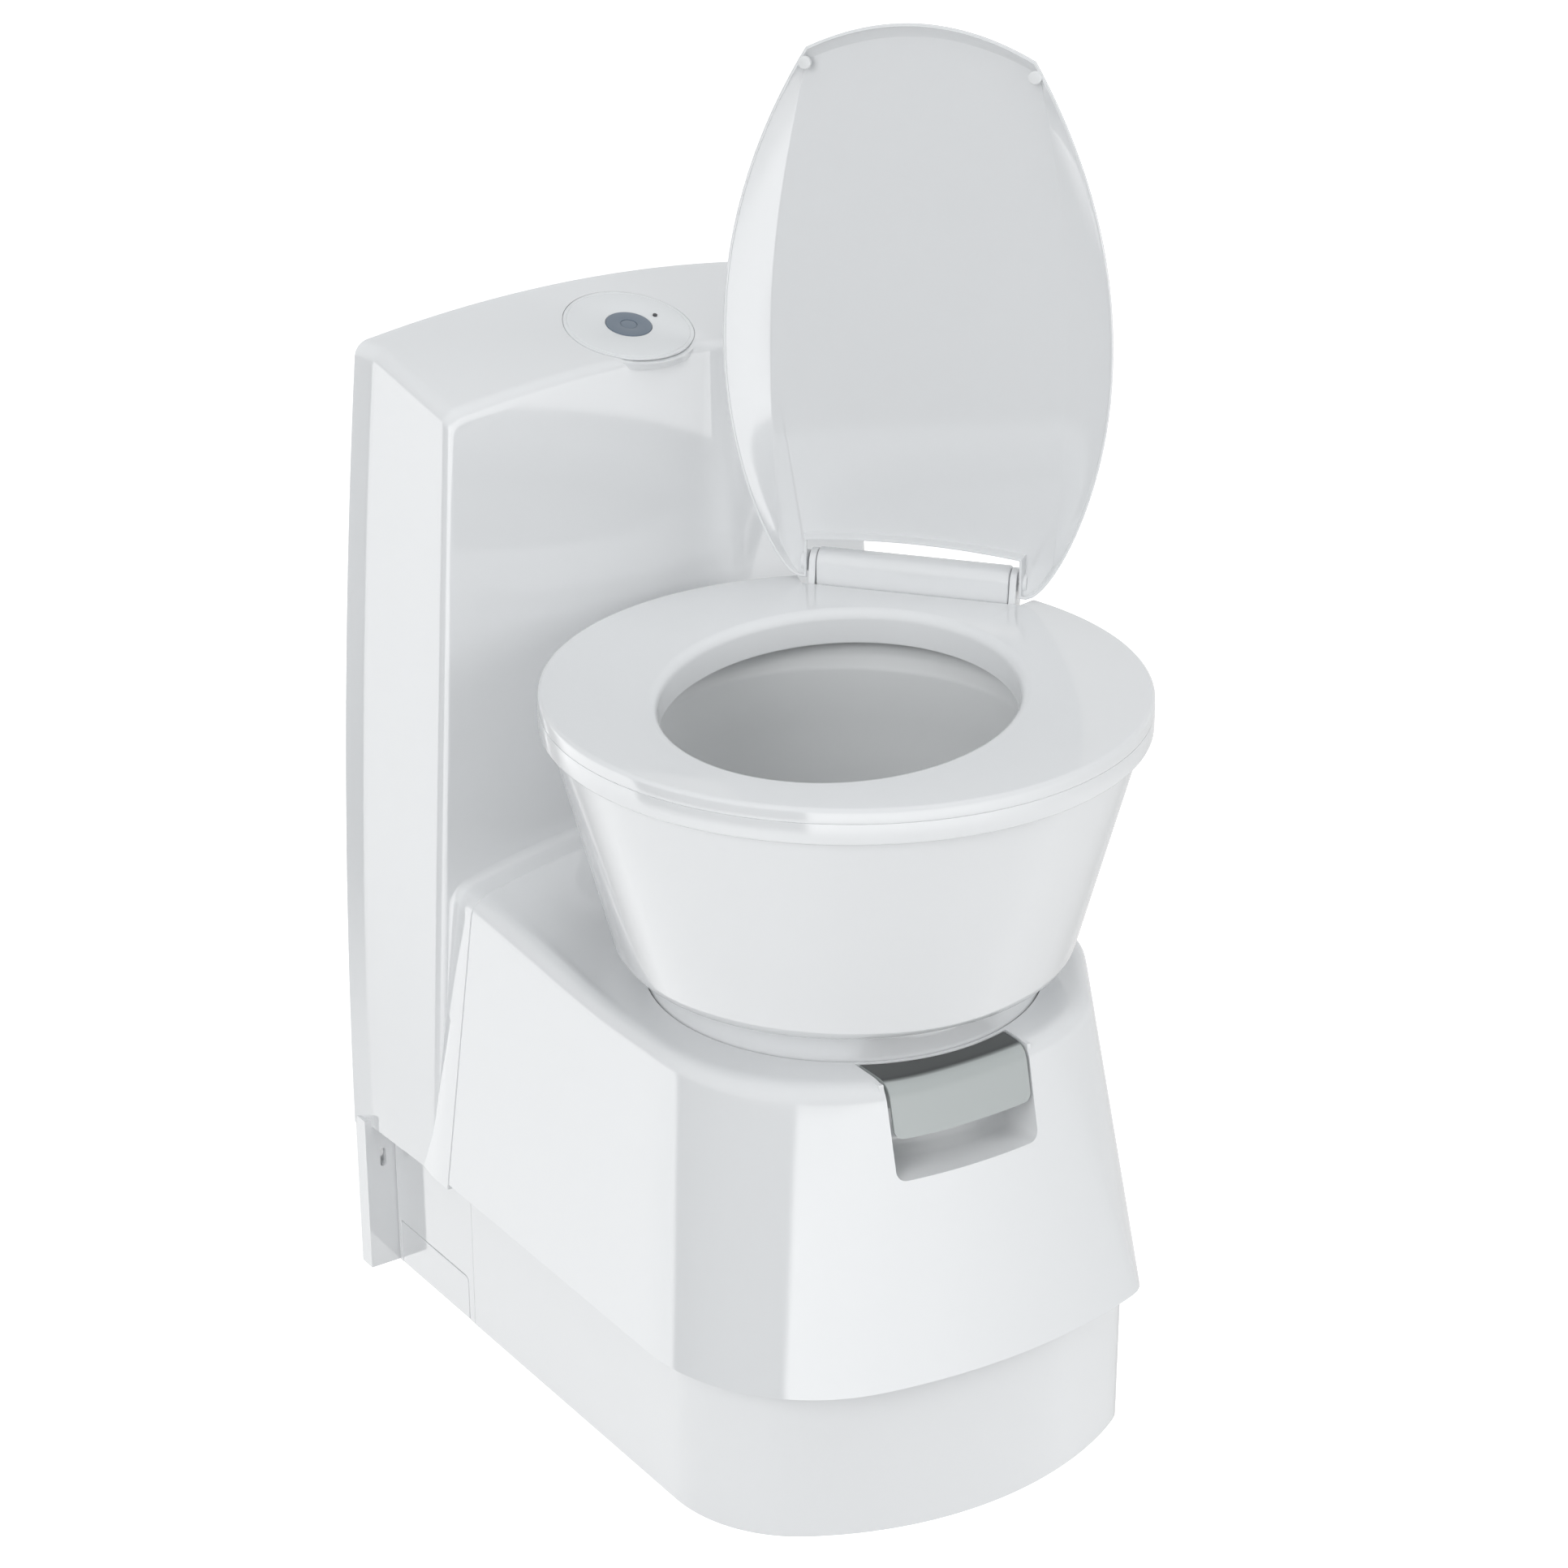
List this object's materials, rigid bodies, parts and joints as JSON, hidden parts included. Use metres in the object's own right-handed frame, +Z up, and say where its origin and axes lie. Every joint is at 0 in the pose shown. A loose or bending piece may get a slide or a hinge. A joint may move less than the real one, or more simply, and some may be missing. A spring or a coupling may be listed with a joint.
{
  "type": "cassette toilet",
  "caption": "Caravan cassette toilet with swivelling bowl, seat, lid, flush console, lever-driven blade valve and roll-out waste cassette.",
  "frame": {"origin": "on the floor, below the axis about 100 mm behind the bowl's centre, on the toilet's centre plane", "axes": "+Z up, -Y to the front, +Y to the wall, +X to the right of a person who looks at the front"},
  "size_m": [0.429, 0.5278, 0.9232],
  "materials": {
    "white_shell": "gloss",
    "bowl_plastic": "gloss",
    "inner_plastic": "moulded",
    "lever_plastic": "satin gloss",
    "button_plastic": "satin",
    "dark_plastic": "moulded",
    "tank_plastic": "moulded",
    "wheel_plastic": "moulded",
    "hose_rubber": "smooth",
    "seal_rubber": "smooth",
    "bumper_rubber": "smooth",
    "pin_steel": "drawn",
    "blade_steel": "rolled"
  },
  "bodies": {
    "base": {"rear_console": "white_shell", "front_hood": "white_shell", "front_plinth": "white_shell", "floor_tray": "inner_plastic", "plinth_side_left": "white_shell", "plinth_side_right": "white_shell", "side_cover_left": "white_shell", "side_cover_right": "white_shell", "swivel_bearing": "inner_plastic", "control_disc": "white_shell", "status_lamp": "dark_plastic", "control_unit": "dark_plastic", "flush_valve": "inner_plastic", "inlet_pipe": "dark_plastic", "flush_hose": "hose_rubber", "lever_guide": "inner_plastic"},
    "button": {"flush_button": "button_plastic"},
    "bowl": {"bowl_shell": "white_shell", "bowl_inlay": "bowl_plastic", "hinge_block": "white_shell", "hinge_pin": "pin_steel"},
    "seat": {"seat": "white_shell"},
    "lid": {"lid": "white_shell", "lid_bumper_left": "bumper_rubber", "lid_bumper_right": "bumper_rubber"},
    "lever": {"valve_lever": "lever_plastic"},
    "drive": {"drive_pinion": "dark_plastic", "pinion_clip": "pin_steel"},
    "cassette": {"cassette_tank": "tank_plastic", "valve_housing": "inner_plastic", "mouth_seal": "seal_rubber", "wheel_axle_left": "pin_steel", "wheel_axle_right": "pin_steel"},
    "blade": {"valve_blade": "blade_steel"},
    "opener": {"valve_opener": "inner_plastic"},
    "wheel_left": {"wheel_left": "wheel_plastic"},
    "wheel_right": {"wheel_right": "wheel_plastic"},
    "pull": {"pull_handle": "dark_plastic"},
    "spout": {"pour_spout": "tank_plastic"},
    "cap": {"spout_cap": "dark_plastic"},
    "vent": {"vent_button": "dark_plastic"}
  },
  "joints": [
    {"name": "flush_button_press", "type": "slide", "parent": "base", "child": "button", "axis": [0, 0.2562, -0.9666], "range_m": [0, 0.0015], "stiffness_N_per_m": 800},
    {"name": "bowl_swivel", "type": "hinge", "parent": "base", "child": "bowl", "pos_m": [0, -0.1, 0.3], "axis": [0, 0, 1], "range_deg": [-39.6, 140.4]},
    {"name": "seat_hinge", "type": "hinge", "parent": "bowl", "child": "seat", "pos_m": [0.13946, 0.01537, 0.541], "axis": [-0.6374, 0.7705, 0], "range_deg": [0, 60]},
    {"name": "lid_hinge", "type": "hinge", "parent": "bowl", "child": "lid", "pos_m": [0.13946, 0.01537, 0.541], "axis": [-0.6374, 0.7705, 0], "range_deg": [-90, 0]},
    {"name": "lever_pull", "type": "slide", "parent": "base", "child": "lever", "axis": [0, -1, 0], "range_m": [0, 0.055]},
    {"name": "drive_turn", "type": "hinge", "parent": "base", "child": "drive", "pos_m": [-0.08026, -0.03, 0.285], "axis": [0, 0, 1], "range_deg": [-257.4, 0]},
    {"name": "opener_turn", "type": "hinge", "parent": "cassette", "child": "opener", "pos_m": [-0.08026, -0.03, 0.27], "axis": [0, 0, 1], "range_deg": [-257.4, 0]},
    {"name": "blade_slide", "type": "slide", "parent": "cassette", "child": "blade", "axis": [0, 1, 0], "range_m": [0, 0.0943]},
    {"name": "cassette_slide", "type": "slide", "parent": "base", "child": "cassette", "axis": [0, 1, 0], "range_m": [0, 0.45]},
    {"name": "wheel_spin_left", "type": "hinge", "parent": "cassette", "child": "wheel_left", "pos_m": [-0.134, -0.15, 0.0243], "axis": [1, 0, 0], "continuous": true},
    {"name": "wheel_spin_right", "type": "hinge", "parent": "cassette", "child": "wheel_right", "pos_m": [0.134, -0.15, 0.0243], "axis": [1, 0, 0], "continuous": true},
    {"name": "pull_handle_slide", "type": "slide", "parent": "cassette", "child": "pull", "axis": [0, 1, 0], "range_m": [0, 0.22]},
    {"name": "spout_swing", "type": "hinge", "parent": "cassette", "child": "spout", "pos_m": [0.094, 0.12, 0.27], "axis": [0, 0, 1], "range_deg": [0, 180]},
    {"name": "cap_turn", "type": "hinge", "parent": "spout", "child": "cap", "pos_m": [0.094, 0.074, 0.2857], "axis": [0, 1, 0], "range_deg": [0, 90]},
    {"name": "vent_press", "type": "slide", "parent": "cassette", "child": "vent", "axis": [0, 0, -1], "range_m": [0, 0.004], "stiffness_N_per_m": 400}
  ],
  "couplings": [
    {"joint": "drive_turn", "follows": "lever_pull", "rad_per_m": -81.6},
    {"joint": "opener_turn", "follows": "lever_pull", "rad_per_m": -81.6},
    {"joint": "blade_slide", "follows": "lever_pull", "ratio": 1.7143}
  ]
}
